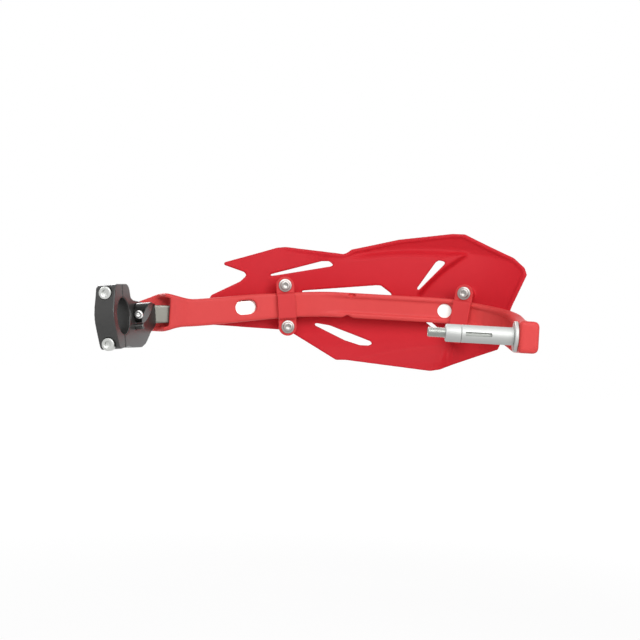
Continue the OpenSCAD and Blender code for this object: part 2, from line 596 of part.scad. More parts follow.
module plug_bolt() color(zinc) difference() {
    union() {
        translate([bolt_seat_x, 0, 0]) rotate([0, -90, 0])
            cylinder(h = bolt_seat_x + sleeve_len + wedge_len + tip_len - 1, r = plug_bolt_r);
        translate([-sleeve_len - wedge_len - tip_len, 0, 0]) rotate([0, 90, 0])
            cylinder(h = 1, r1 = plug_bolt_r - 1, r2 = plug_bolt_r);
        translate([bolt_seat_x, 0, 0]) rotate([0, 90, 0]) rotate_extrude() polygon([[0, 0], [plug_head_r, 0],
            [plug_head_r, 1.4], [plug_head_r - 1, 3], [plug_head_r - 2.6, 3.9], [0, 3.9]]);
    }
    translate([bolt_seat_x + 1.2, 0, 0]) rotate([0, 90, 0]) cylinder(h = 4, r = 2.9, $fn = 6);
}

// The clamp: a body with an arm, and a cap held by two bolts
bolt_half = clamp_bolt_gap / 2;
clamp_bolt_len = 20;
head_seat_y = -ring_half + 10;
// Ears of the ring as place forward, place up and radius
ears = [[10 - ring_half * 0.9, 18.7, 6], [-9, -19.6, 6], [10, 18, 7.5], [5, -19, 5]];
module ring_outline() hull() {
    circle(r = ring_half, $fn = 64);
    for (e = ears) translate([e.x, e.y]) circle(r = e.z, $fn = 32);
}
// Lower and upper edges of the arm as places forward and up
arm_low = [[2.5, -24], [10, -23.5], [18, -24.6], [39, -24.7], [48, -22.2], [53, -19.5],
    [63.5, -12.3], [72, -9.3], [80, -4]];
arm_high = [[80, pivot_up + 9], [50, pivot_up + 9], [24, 13], [16, 16], [2.5, 16]];
module arm_outline() intersection() {
    polygon(concat(arm_high, arm_low));
    translate([pivot_f, pivot_up]) circle(r = arm_reach + 1);
}
// A flat shape in the arm's plane, drawn as Y and Z and thickened along X
module plate(x0, x1) translate([x0, 0, 0]) rotate([90, 0, 90]) linear_extrude(x1 - x0) children();
module at_bolt(z) translate([-clamp_w / 2, head_seat_y, z * bolt_half - clamp_bolt_drop]) children();
module clamp_bolt_holes() for (z = [-1, 1]) at_bolt(z) {
    rotate([-90, 0, 0]) cylinder(h = clamp_bolt_len + 0.6, r = clamp_bolt_r + hole_play);
    rotate([90, 0, 0]) cylinder(h = 20, r = clamp_head_r + 0.3);
}
arm_bevel = 10;
module handlebar_bore() translate([-clamp_w - over, 0, 0]) rotate([0, 90, 0])
    cylinder(h = clamp_w + 2 * over, r = clamp_r);
module clamp_body() color(black) in_clamp() difference() {
    union() {
        intersection() {
            plate(-clamp_w, 0) ring_outline();
            translate([-clamp_w - over, split / 2, -50]) cube([clamp_w + 2 * over, 60, 100]);
        }
        intersection() {
            plate(-arm_t, 0) arm_outline();
            translate([-arm_t, pivot_f, pivot_up]) rotate([0, 90, 0])
                cylinder(h = arm_t, r1 = arm_reach - arm_bevel, r2 = arm_reach, $fn = 96);
        }
    }
    handlebar_bore();
    clamp_bolt_holes();
    translate([-arm_t - over, pivot_f, pivot_up]) rotate([0, 90, 0])
        cylinder(h = arm_t + 2 * over, r = pivot_r + pivot_play);
    translate([-over, pivot_f - pin_back, pin_up]) rotate([0, 90, 0])
        cylinder(h = 2 * over, r = pin_r + hole_play);
}
module clamp_cap() color(black) in_clamp() difference() {
    intersection() {
        plate(-clamp_w, 0) ring_outline();
        translate([-clamp_w - over, -60 - split / 2, -50]) cube([clamp_w + 2 * over, 60, 100]);
    }
    handlebar_bore();
    clamp_bolt_holes();
}
clamp_head_h = 6;
chamfer = 0.6;
module clamp_bolt(z) color(zinc) in_clamp() at_bolt(z) rotate([-90, 0, 0]) difference() {
    union() {
        cylinder(h = clamp_bolt_len, r = clamp_bolt_r);
        translate([0, 0, chamfer - clamp_head_h]) cylinder(h = clamp_head_h - chamfer, r = clamp_head_r);
        translate([0, 0, -clamp_head_h]) cylinder(h = chamfer, r1 = clamp_head_r - chamfer, r2 = clamp_head_r);
    }
    translate([0, 0, -clamp_head_h - over]) cylinder(h = clamp_head_h / 2 + over, r = 2.9, $fn = 6);
}
module clamp_bolt_upper() clamp_bolt(1);
module clamp_bolt_lower() clamp_bolt(-1);

// The knuckle is the barrel nut of the pivot bolt, and its screw locks the bolt
slope_deg = 27;
lock_x = 4.4;
lock_deg = 10;
lock_sink = 0.8;
pivot_tip = 5.6;
module at_lock() at_pivot() translate([lock_x, 0, 0]) rotate([90 + lock_deg, 0, 0]) children();
module knuckle() color(black) difference() {
    at_pivot() translate([face_gap, 0, 0]) rotate([0, 90, 0])
        cylinder(h = knuckle_len - face_gap, r = knuckle_r);
    at_pivot() translate([knuckle_len, 0, knuckle_r]) rotate([0, slope_deg, 0])
        translate([0, -20, -40]) cube([20, 40, 60]);
    at_pivot() rotate([0, 90, 0]) cylinder(h = pivot_tip + 0.3, r = pivot_r + hole_play);
    at_lock() translate([0, 0, pivot_r - 0.5]) cylinder(h = 20, r = lock_r + hole_play);
    at_lock() translate([0, 0, knuckle_r - lock_sink]) cylinder(h = 20, r = lock_head_r + hole_play);
}
module knuckle_screw() color(zinc) at_lock() difference() {
    union() {
        translate([0, 0, pivot_r + hole_play]) cylinder(h = knuckle_r - lock_sink - pivot_r, r = lock_r);
        translate([0, 0, knuckle_r - lock_sink]) rotate_extrude()
            polygon([[0, 0], [lock_head_r, 0], [lock_head_r, 1.2], [lock_head_r - 0.8, 2.2], [0, 2.2]]);
    }
    translate([0, 0, knuckle_r - lock_sink + 1]) cylinder(h = 4, r = 1.7, $fn = 6);
}
pivot_head_h = 5;
washer_t = 1.4;
washer_x = strip_x - core_t / 2 - hole_play - washer_t;
module pivot_washer() color(zinc) at_pivot() translate([washer_x, 0, 0]) rotate([0, 90, 0]) difference() {
    cylinder(h = washer_t, r = eye_r - 0.8);
    translate([0, 0, -over]) cylinder(h = 4, r = pivot_r + hole_play);
}
module pivot_bolt() color(zinc) at_pivot() translate([washer_x, 0, 0]) rotate([0, 90, 0]) difference() {
    union() {
        cylinder(h = pivot_tip - washer_x, r = pivot_r);
        translate([0, 0, -pivot_head_h]) cylinder(h = pivot_head_h, r = eye_r - 1.3);
    }
    translate([0, 0, -pivot_head_h - over]) cylinder(h = 3 + over, r = 3.4, $fn = 6);
}
// A small pin in the arm below the knuckle that marks the swivel's middle
pin_r = 2.3;
pin_back = 4;
pin_up = pivot_up - knuckle_r - 2.6;
pin_len = 6;
module stop_pin() color(black) in_clamp() translate([-over, pivot_f - pin_back, pin_up]) rotate([0, 90, 0]) {
    cylinder(h = over + pin_len, r = pin_r);
    translate([0, 0, over + pin_len]) cylinder(h = 0.8, r1 = pin_r, r2 = pin_r - 0.8);
}

bar_cover();
bar_core();
shield();
bracket_inner();
bracket_outer();
screw_inner_upper();
screw_inner_lower();
screw_outer_upper();
screw_outer_lower();
plug_washer();
plug_sleeve();
plug_wedge();
plug_bolt();
plug_bolt_washer();
clamp_body();
clamp_cap();
clamp_bolt_upper();
clamp_bolt_lower();
knuckle();
knuckle_screw();
pivot_bolt();
pivot_washer();
stop_pin();
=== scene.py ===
"""Looks of the right hand guard: red mouldings, bare strip, zinc hardware and a black clamp.

Mouldings and castings are recast copies of their solids, with the round edges that a mould
leaves. Screws, bolts and the plug are turned anew, with their sockets, slots and threads.
Lengths are in millimetres in the shapes and in metres in the studio.
"""

import json
import logging
import math
from dataclasses import dataclass, field
from enum import Enum
from typing import Any, Sequence

import bpy
from mathutils import Matrix, Vector

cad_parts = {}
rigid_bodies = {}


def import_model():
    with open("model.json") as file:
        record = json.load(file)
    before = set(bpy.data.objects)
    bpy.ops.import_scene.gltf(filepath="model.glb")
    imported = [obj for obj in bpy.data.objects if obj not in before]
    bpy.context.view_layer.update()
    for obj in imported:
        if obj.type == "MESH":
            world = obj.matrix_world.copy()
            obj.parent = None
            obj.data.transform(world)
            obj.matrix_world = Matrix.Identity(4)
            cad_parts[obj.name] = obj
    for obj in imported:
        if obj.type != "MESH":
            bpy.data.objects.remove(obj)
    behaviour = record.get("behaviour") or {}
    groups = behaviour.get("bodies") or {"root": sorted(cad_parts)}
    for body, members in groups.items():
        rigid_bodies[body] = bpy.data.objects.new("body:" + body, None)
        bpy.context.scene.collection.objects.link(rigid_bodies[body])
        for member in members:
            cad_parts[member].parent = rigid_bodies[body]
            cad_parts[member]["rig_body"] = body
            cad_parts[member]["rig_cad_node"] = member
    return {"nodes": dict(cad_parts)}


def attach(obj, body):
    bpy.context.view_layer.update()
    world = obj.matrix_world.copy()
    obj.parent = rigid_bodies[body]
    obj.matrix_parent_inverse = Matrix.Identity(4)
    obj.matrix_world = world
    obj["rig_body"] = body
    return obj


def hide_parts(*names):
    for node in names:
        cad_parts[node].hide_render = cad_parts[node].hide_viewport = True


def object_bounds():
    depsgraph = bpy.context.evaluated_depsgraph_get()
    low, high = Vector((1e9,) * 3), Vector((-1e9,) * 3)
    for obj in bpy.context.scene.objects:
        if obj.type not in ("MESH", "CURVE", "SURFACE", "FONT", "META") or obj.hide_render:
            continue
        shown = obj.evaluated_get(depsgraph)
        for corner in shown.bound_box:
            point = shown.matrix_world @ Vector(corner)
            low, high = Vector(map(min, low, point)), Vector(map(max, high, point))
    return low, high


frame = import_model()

LOG = logging.getLogger("hand_guard")
MM = 0.001
CAD_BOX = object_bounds()
# Edges over these angles stay sharp, in degrees, and points nearer than these lengths are welded.
SHARP_TURNED = 28
SHARP_CAST = 60
CAD_WELD = 0.004 * MM
RING_WELD = 0.002 * MM
Profile = Sequence[tuple[float, float]]
Colour = tuple[float, float, float]


class Grain(Enum):
    """The way a surface's fine marks run, as stretch factors on X, Y and Z."""

    EVEN = (1.0, 1.0, 1.0)
    DRAWN = (0.02, 0.02, 1.0)
    LENGTHWISE = (0.03, 1.0, 1.0)


class Edge(Enum):
    """How round a recast piece's edges are, as the number of times its skin is eased."""

    CRISP = 1
    EASED = 2
    MOULDED = 3
    SOFT = 4


class Signal:
    """A shader socket that takes part in Python arithmetic."""

    def __init__(self, bench: "Bench", socket: bpy.types.NodeSocket) -> None:
        """Keeps the bench that the socket's node stands on."""
        self.bench = bench
        self.socket = socket

    def __add__(self, other: "Signal | float") -> "Signal":
        """Sum."""
        return self.bench.maths("ADD", self, other)

    def __mul__(self, other: "Signal | float") -> "Signal":
        """Product."""
        return self.bench.maths("MULTIPLY", self, other)

    def clamped(self) -> "Signal":
        """The value held between 0 and 1."""
        return self.bench.maths("MINIMUM", self.bench.maths("MAXIMUM", self, 0.0), 1.0)

    __radd__ = __add__
    __rmul__ = __mul__


class Bench:
    """The nodes of one material or world while they are put together."""

    def __init__(self, holder: bpy.types.Material | bpy.types.World) -> None:
        """Starts with no nodes.

        Args:
            holder: the new material or world.
        """
        self.holder = holder
        holder.use_nodes = True
        self.tree = holder.node_tree
        self.tree.nodes.clear()

    def node(
        self,
        kind: str,
        settings: dict[str, Any] | None = None,
        sockets: dict[str | int, Any] | None = None,
    ) -> bpy.types.Node:
        """Adds a node.

        Args:
            kind: the node's type.
            settings: the node's own settings, which are set first.
            sockets: values or links of its inputs, by name or number.

        Returns:
            The new node.
        """
        made = self.tree.nodes.new(kind)
        for key, value in (settings or {}).items():
            setattr(made, key, value)
        for key, value in (sockets or {}).items():
            self.plug(made.inputs[key], value)
        return made

    def plug(self, socket: bpy.types.NodeSocket, value: Any) -> None:
        """Links or sets one input.

        Args:
            socket: the input.
            value: a signal, an output socket, or a constant.
        """
        if isinstance(value, Signal):
            value = value.socket
        if isinstance(value, bpy.types.NodeSocket):
            self.tree.links.new(value, socket)
        else:
            socket.default_value = value

    def maths(self, operation: str, a: "Signal | float", b: "Signal | float") -> Signal:
        """Adds a Math node.

        Args:
            operation: the node's operation.
            a: its first value.
            b: its second value.

        Returns:
            The node's value.
        """
        made = self.node("ShaderNodeMath", {"operation": operation}, {0: a, 1: b})
        return Signal(self, made.outputs[0])

    def place(self) -> bpy.types.NodeSocket:
        """Gives the object's own coordinates."""
        return self.node("ShaderNodeTexCoord").outputs["Object"]

    def axis(self, name: str) -> Signal:
        """Gives one of the object's coordinates in millimetres."""
        split = self.node("ShaderNodeSeparateXYZ", {}, {"Vector": self.place()})
        return Signal(self, split.outputs[name]) * (1 / MM)

    def speckle(self, size_mm: float, grain: Grain = Grain.EVEN, detail: float = 2.0) -> Signal:
        """Noise whose spots are about one size.

        Args:
            size_mm: the size of a spot.
            grain: the way in which the spots are drawn out.
            detail: how many finer layers lie on top.

        Returns:
            A value about 0.5.
        """
        stretched = self.node("ShaderNodeMapping", {}, {"Vector": self.place(), "Scale": grain.value})
        sockets = {"Vector": stretched.outputs[0], "Scale": 1 / (size_mm * MM), "Detail": detail}
        return Signal(self, self.node("ShaderNodeTexNoise", {}, sockets).outputs[0])

    def mixed(self, one: Signal, other: Signal, share: float) -> Signal:
        """Mixes two values, with a fixed share of the other."""
        return one * (1 - share) + other * share

    def uneven(self, level: float, *marks: tuple[Signal, float]) -> Signal:
        """Varies a level about its mean.

        Args:
            level: the mean.
            *marks: values about 0.5, each with what it adds at most.

        Returns:
            The varied level.
        """
        total = level - sum(most for _, most in marks) / 2
        for value, most in marks:
            total = total + value * most
        return total

    def ramp(self, value: Signal, low: float, high: float) -> Signal:
        """Rises smoothly from 0 to 1.

        Args:
            value: the value that it follows.
            low: where it starts to rise.
            high: where it has risen.

        Returns:
            The risen value.
        """
        settings = {"interpolation_type": "SMOOTHSTEP"}
        made = self.node("ShaderNodeMapRange", settings, {0: value, 1: low, 2: high})
        return Signal(self, made.outputs[0])

    def tint(self, amount: Signal, low: Colour, high: Colour) -> bpy.types.NodeSocket:
        """Mixes two colours by a value that changes over the surface."""
        sockets = {"Factor": amount, 6: (*low, 1), 7: (*high, 1)}
        return self.node("ShaderNodeMix", {"data_type": "RGBA"}, sockets).outputs[2]

    def relief(self, height: Signal, depth_mm: float, strength: float = 1.0) -> bpy.types.NodeSocket:
        """Turns a height into a bumped normal."""
        sockets = {"Height": height, "Distance": depth_mm * MM, "Strength": strength}
        return self.node("ShaderNodeBump", {}, sockets).outputs[0]

    def surface(self, **sockets: Any) -> bpy.types.Material:
        """Closes the material with its main shader.

        Args:
            **sockets: inputs of the shader, with underscores for spaces.

        Returns:
            The finished material.
        """
        named = {key.replace("_", " "): value for key, value in sockets.items()}
        shader = self.node("ShaderNodeBsdfPrincipled", {}, named)
        self.node("ShaderNodeOutputMaterial", {}, {"Surface": shader.outputs[0]})
        return self.holder


@dataclass(frozen=True)
class Finish:
    """What every finish has: its names, and its colour where its marks are low and high."""

    name: str
    slot: str
    low: Colour
    high: Colour

    def bench(self) -> Bench:
        """Opens a new material under the finish's name."""
        return Bench(bpy.data.materials.new(self.name))

    def make(self) -> bpy.types.Material:
        """Builds the material."""
        raise NotImplementedError


@dataclass(frozen=True)
class MouldedPlastic(Finish):
    """Coloured plastic as it leaves a mould that was lightly spark textured."""

    gloss: float
    roughness: float = 0.47
    flow_mm: float = 46.0
    spark_mm: float = 0.35
    spark_tint: float = 0.2
    spark_rough: float = 0.06
    scuff_mm: float = 4.9
    scuff_rough: float = 0.08
    scuff_relief: float = 0.3
    depth_mm: float = 0.045
    strength: float = 0.55

    def make(self) -> bpy.types.Material:
        """Builds the material.

        Returns:
            The new material.
        """
        bench = self.bench()
        flow = bench.speckle(self.flow_mm, detail=3)
        spark = bench.speckle(self.spark_mm, detail=1)
        scuff = bench.speckle(self.scuff_mm, detail=4)
        skin = bench.mixed(spark, scuff, self.scuff_relief)
        return bench.surface(
            Base_Color=bench.tint(bench.mixed(flow, spark, self.spark_tint), self.low, self.high),
            Roughness=bench.uneven(self.roughness, (spark, self.spark_rough), (scuff, self.scuff_rough)),
            Specular_IOR_Level=self.gloss,
            Normal=bench.relief(skin, self.depth_mm, self.strength),
        )


@dataclass(frozen=True)
class Metal(Finish):
    """Bare or plated metal with the marks of the way it was made."""

    roughness: float
    grain: Grain
    grain_mm: float = 0.25
    depth_mm: float = 0.01
    strength: float = 0.5
    marks_tint: float = 0.4
    marks_rough: float = 0.06
    cloud_mm: float = 9.0
    cloud_rough: float = 0.1

    def make(self) -> bpy.types.Material:
        """Builds the material.

        Returns:
            The new material.
        """
        bench = self.bench()
        marks = bench.speckle(self.grain_mm, self.grain)
        cloud = bench.speckle(self.cloud_mm, detail=3)
        return bench.surface(
            Base_Color=bench.tint(bench.mixed(cloud, marks, self.marks_tint), self.low, self.high),
            Metallic=1.0,
            Roughness=bench.uneven(self.roughness, (cloud, self.cloud_rough), (marks, self.marks_rough)),
            Normal=bench.relief(marks, self.depth_mm, self.strength),
        )


@dataclass(frozen=True)
class Strip(Finish):
    """Rolled aluminium, bright inside the cover, with painted shade and dark reflection that darken it
    where it leaves the cover towards the clamp.
    """

    roughness: float = 0.44
    # Along X between these places the strip darkens to painted shade and dark reflection by the clamp.
    painted_shade_from: float = -225.0
    painted_shade_to: float = -262.0
    painted_shade: float = 0.85
    drawn_mm: float = 0.3
    drawn_tint: float = 0.12
    drawn_rough: float = 0.08
    cloud_mm: float = 12.0
    cloud_tint: float = 0.2
    cloud_rough: float = 0.1
    depth_mm: float = 0.02
    strength: float = 0.5

    def make(self) -> bpy.types.Material:
        """Builds the material.

        Returns:
            The new material.
        """
        bench = self.bench()
        drawn = bench.speckle(self.drawn_mm, Grain.DRAWN)
        cloud = bench.speckle(self.cloud_mm, detail=4)
        # Painted shade and dark reflection: the strip's colour darkens towards the clamp end along X,
        # mixed with its real drawn and cloudy marks.
        bare = bench.ramp(-1 * bench.axis("X"), -self.painted_shade_from, -self.painted_shade_to)
        painted_shade_and_marks = (bare * self.painted_shade + cloud * self.cloud_tint + drawn * self.drawn_tint).clamped()
        return bench.surface(
            Base_Color=bench.tint(painted_shade_and_marks, self.low, self.high),
            Metallic=1.0,
            Roughness=bench.uneven(self.roughness, (cloud, self.cloud_rough), (drawn, self.drawn_rough)),
            Normal=bench.relief(drawn, self.depth_mm, self.strength),
        )


@dataclass(frozen=True)
class Anodised(Finish):
    """Black anodised aluminium: a thin dark skin over finely blasted metal."""

    roughness: float = 0.31
    gloss: float = 0.6
    blast_mm: float = 0.18
    blast_tint: float = 0.2
    blast_rough: float = 0.04
    cloud_mm: float = 14.0
    cloud_rough: float = 0.06
    depth_mm: float = 0.006
    strength: float = 0.4

    def make(self) -> bpy.types.Material:
        """Builds the material.

        Returns:
            The new material.
        """
        bench = self.bench()
        blast = bench.speckle(self.blast_mm, detail=1)
        cloud = bench.speckle(self.cloud_mm, detail=4)
        return bench.surface(
            Base_Color=bench.tint(bench.mixed(cloud, blast, self.blast_tint), self.low, self.high),
            Roughness=bench.uneven(self.roughness, (cloud, self.cloud_rough), (blast, self.blast_rough)),
            Specular_IOR_Level=self.gloss,
            Normal=bench.relief(blast, self.depth_mm, self.strength),
        )


def zinc(name: str, low: Colour, high: Colour, roughness: float = 0.36) -> Metal:
    """Gives zinc plated steel of one tone."""
    return Metal(name, "zinc_steel", low, high, roughness, Grain.EVEN, grain_mm=0.5, depth_mm=0.008)


SHIELD_RED = MouldedPlastic("red_shield", "red_plastic", (0.57, 0.012, 0.022), (0.64, 0.020, 0.031), 0.14)
STRAP_RED = MouldedPlastic("red_strap", "red_plastic", (0.61, 0.034, 0.038), (0.68, 0.046, 0.050), 0.24)
# The bar's paler, pinker red is the shield's red with a painted sheen mixed into its colour.
BAR_RED_PAINTED_SHEEN = MouldedPlastic("red_bar_painted_sheen", "red_plastic", (0.66, 0.050, 0.050), (0.74, 0.068, 0.066), 0.26)
# Its second, dark tone is the painted shade and dark reflection at the strip's clamp end.
BARE = Strip("bare_strip", "bare_aluminium", (0.94, 0.94, 0.91), (0.21, 0.207, 0.182))
ZINC = zinc("zinc", (0.52, 0.53, 0.51), (0.64, 0.65, 0.63), 0.34)
BOLT_ZINC = zinc("zinc_dull", (0.32, 0.295, 0.28), (0.42, 0.395, 0.38))
THREAD_ZINC = zinc("zinc_thread", (0.40, 0.415, 0.39), (0.50, 0.515, 0.49))
# Near white zinc that paints a highlight on the lock screw's small head.
LOCK_ZINC_PAINTED_HIGHLIGHT = zinc("zinc_lock_painted_highlight", (0.84, 0.84, 0.83), (0.93, 0.93, 0.92), 0.34)
TURNED_ZINC = Metal(
    "zinc_turned", "zinc_steel", (0.47, 0.48, 0.47), (0.58, 0.59, 0.575), 0.6, Grain.LENGTHWISE,
    grain_mm=0.3, depth_mm=0.014,
)
BLACK = Anodised("black", "black_anodised", (0.022, 0.022, 0.021), (0.034, 0.033, 0.032))
GLOSS_BLACK = Anodised(
    "black_gloss", "black_anodised", (0.006, 0.006, 0.006), (0.010, 0.010, 0.009),
    roughness=0.21, gloss=0.3,
)
GREY = Metal("grey", "grey_steel", (0.10, 0.10, 0.10), (0.17, 0.165, 0.16), 0.4, Grain.EVEN)


def pick(piece: bpy.types.Object) -> None:
    """Selects one object alone and makes it the active one.

    Args:
        piece: the object.
    """
    bpy.ops.object.select_all(action="DESELECT")
    piece.select_set(True)
    bpy.context.view_layer.objects.active = piece


def added(name: str) -> bpy.types.Object:
    """Names the object that an operator has just added.

    Args:
        name: its name.

    Returns:
        The object.
    """
    piece = bpy.context.view_layer.objects.active
    piece.name = name
    return piece


def apply(piece: bpy.types.Object, kind: str, **settings: Any) -> None:
    """Puts a modifier on a piece and applies it.

    Args:
        piece: the piece.
        kind: the modifier's type.
        **settings: the modifier's settings.
    """
    pick(piece)
    modifier = piece.modifiers.new(kind.lower(), kind)
    for key, value in settings.items():
        setattr(modifier, key, value)
    bpy.ops.object.modifier_apply(modifier=modifier.name)


def combine(piece: bpy.types.Object, other: bpy.types.Object, operation: str) -> bpy.types.Object:
    """Cuts a piece with another, or adds the other to it, and removes the other.

    Args:
        piece: the piece that stays.
        other: the cutter or the addition.
        operation: DIFFERENCE, UNION or INTERSECT.

    Returns:
        The piece.
    """
    apply(piece, "BOOLEAN", operation=operation, object=other, solver="EXACT")
    bpy.data.objects.remove(other)
    return piece


def settle(piece: bpy.types.Object, seat: Matrix) -> None:
    """Moves a piece from the bench to its seat and puts its place into its mesh.

    Args:
        piece: the piece.
        seat: the frame that the bench's frame goes to.
    """
    pick(piece)
    piece.matrix_world = seat @ piece.matrix_world
    bpy.ops.object.transform_apply(location=True, rotation=True, scale=True)


def smooth(piece: bpy.types.Object, degrees: float) -> None:
    """Shades a piece smooth, except over edges sharper than an angle."""
    pick(piece)
    bpy.ops.object.shade_smooth_by_angle(angle=math.radians(degrees))


def face_out(piece: bpy.types.Object) -> None:
    """Turns all faces of a closed piece outwards.

    Args:
        piece: the piece.
    """
    pick(piece)
    bpy.ops.object.mode_set(mode="EDIT")
    bpy.ops.mesh.select_all(action="SELECT")
    bpy.ops.mesh.remove_doubles(threshold=RING_WELD)
    bpy.ops.mesh.normals_make_consistent(inside=False)
    bpy.ops.object.mode_set(mode="OBJECT")


def turned(name: str, profile: Profile, sides: int = 64) -> bpy.types.Object:
    """Turns a closed body round Z by extruding one ring after another.

    Args:
        name: the piece's name.
        profile: radius and height of each ring, from one end to the other.
        sides: the number of facets round the axis.

    Returns:
        The closed body, at the origin.
    """
    bpy.ops.object.select_all(action="DESELECT")
    radius, height = profile[0]
    bpy.ops.mesh.primitive_circle_add(
        vertices=sides, radius=radius * MM, fill_type="NGON", location=(0, 0, height * MM)
    )
    piece = added(name)
    bpy.ops.object.transform_apply(location=True)
    bpy.ops.object.mode_set(mode="EDIT")
    bpy.ops.mesh.select_all(action="SELECT")
    for (r0, z0), (r1, z1) in zip(profile, profile[1:]):
        bpy.ops.mesh.extrude_region_move(TRANSFORM_OT_translate={"value": (0, 0, (z1 - z0) * MM)})
        bpy.ops.transform.resize(value=(r1 / r0, r1 / r0, 1), center_override=(0, 0, z1 * MM))
    bpy.ops.object.mode_set(mode="OBJECT")
    face_out(piece)
    return piece


@dataclass(frozen=True)
class Screw:
    """A screw with a hexagon socket, turned with Z out of its head and its seat at zero.

    The head is a profile. The tip is what its chamfer takes off the radius and the length.
    The socket's bevel is given by its ends as shares of the socket's radius.
    """

    shank: float
    length: float
    head: Profile
    socket: float
    socket_floor: float
    tip: tuple[float, float] = (0.5, 0.6)
    sides: int = 64
    drill: float = 0.3
    drill_depth: float = 0.6
    bevel: tuple[float, float] = (0.86, 1.12)
    bevel_depth: float = 0.35
    mouth_sides: int = 48
    proud: float = 0.05
    over: float = 1.0

    def drive(self) -> bpy.types.Object:
        """Makes the cutter of the socket, with a drilled bottom and a bevelled mouth.

        Returns:
            The cutter, on the bench.
        """
        r, low, top = self.socket, self.socket_floor, self.head[-1][1]
        inner, outer = (r * share for share in self.bevel)
        end = top + self.over
        prism = turned("socket", ((r * self.drill, low - self.drill_depth), (r, low), (r, end)), 6)
        rings = ((inner, top - self.bevel_depth), (outer, top + self.proud), (outer, end))
        return combine(prism, turned("mouth", rings, self.mouth_sides), "UNION")

    def make(self, name: str) -> bpy.types.Object:
        """Turns the screw and cuts its socket.

        Args:
            name: the screw's name.

        Returns:
            The screw, on the bench.
        """
        slim, rise = self.tip
        tip = ((self.shank - slim, -self.length), (self.shank, rise - self.length), (self.shank, 0))
        return combine(turned(name, (*tip, *self.head), self.sides), self.drive(), "DIFFERENCE")


def helix(name: str, radius: float, pitch: float, low: float, high: float) -> bpy.types.Object:
    """Winds a closed ridge round Z, the tooth of a thread.

    Args:
        name: the piece's name.
        radius: the thread's outer radius.
        pitch: the rise of one turn.
        low: height at which the ridge starts.
        high: height at which it ends.

    Returns:
        The ridge.
    """
    depth = pitch / 2
    foot, crest = 0.46, 0.1
    steps = 32
    corners = (0, 1, 3, 2)
    bpy.ops.object.select_all(action="DESELECT")
    bpy.ops.mesh.primitive_plane_add(size=1)
    ridge = added(name)
    tooth = ((radius - depth, -foot), (radius, -crest), (radius, crest), (radius - depth, foot))
    for corner, (r, rise) in zip(corners, tooth):
        ridge.data.vertices[corner].co = Vector((r * MM, 0, (low + rise * pitch) * MM))
    pick(ridge)
    bpy.ops.object.mode_set(mode="EDIT")
    bpy.ops.mesh.select_all(action="SELECT")
    bpy.ops.mesh.delete(type="ONLY_FACE")
    bpy.ops.object.mode_set(mode="OBJECT")
    apply(
        ridge, "SCREW", angle=math.tau, screw_offset=pitch * MM, steps=steps, render_steps=steps,
        iterations=round((high - low) / pitch), use_merge_vertices=True, merge_threshold=RING_WELD / 2,
    )
    pick(ridge)
    bpy.ops.object.mode_set(mode="EDIT")
    bpy.ops.mesh.select_all(action="SELECT")
    bpy.ops.mesh.fill_holes(sides=0)
    bpy.ops.mesh.normals_make_consistent(inside=False)
    bpy.ops.object.mode_set(mode="OBJECT")
    return ridge


def merged_copy(node: str) -> bpy.types.Object:
    """Copies a solid's mesh and joins its loose triangles.

    Args:
        node: the solid's name.

    Returns:
        The copy, with the solid itself left alone.
    """
    pick(frame["nodes"][node])
    bpy.ops.object.duplicate()
    piece = added(f"{node}_looks")
    piece.parent = None
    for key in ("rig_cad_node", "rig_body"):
        del piece[key]
    pick(piece)
    bpy.ops.object.mode_set(mode="EDIT")
    bpy.ops.mesh.select_all(action="SELECT")
    bpy.ops.mesh.remove_doubles(threshold=CAD_WELD)
    bpy.ops.object.mode_set(mode="OBJECT")
    return piece


def recast(piece: bpy.types.Object, grid_mm: float, edge: Edge) -> bpy.types.Object:
    """Gives a piece one even skin and rounds its edges, as a mould does.

    Args:
        piece: the piece.
        grid_mm: the size of the skin's squares.
        edge: how round its edges get.

    Returns:
        The piece.
    """
    apply(piece, "REMESH", mode="VOXEL", voxel_size=grid_mm * MM, adaptivity=0.0)
    apply(piece, "SMOOTH", factor=0.5, iterations=edge.value)
    smooth(piece, SHARP_CAST)
    return piece


_MATERIALS: dict[Finish, bpy.types.Material] = {}


def material_of(finish: Finish) -> bpy.types.Material:
    """Makes a finish's material once and keeps it.

    Args:
        finish: the finish.

    Returns:
        Its material.
    """
    if finish not in _MATERIALS:
        _MATERIALS[finish] = finish.make()
    return _MATERIALS[finish]


def blend(value: float, low: float, high: float) -> float:
    """Rises smoothly from 0 to 1 as a value goes from low to high."""
    share = max(0.0, min(1.0, (value - low) / (high - low)))
    return share * share * (3 - 2 * share)


def shift(x: float, y: float, z: float) -> Matrix:
    """A move in millimetres."""
    return Matrix.Translation(Vector((x, y, z)) * MM)


def spin(degrees: float, axis: str) -> Matrix:
    """A turn round one axis."""
    return Matrix.Rotation(math.radians(degrees), 4, axis)


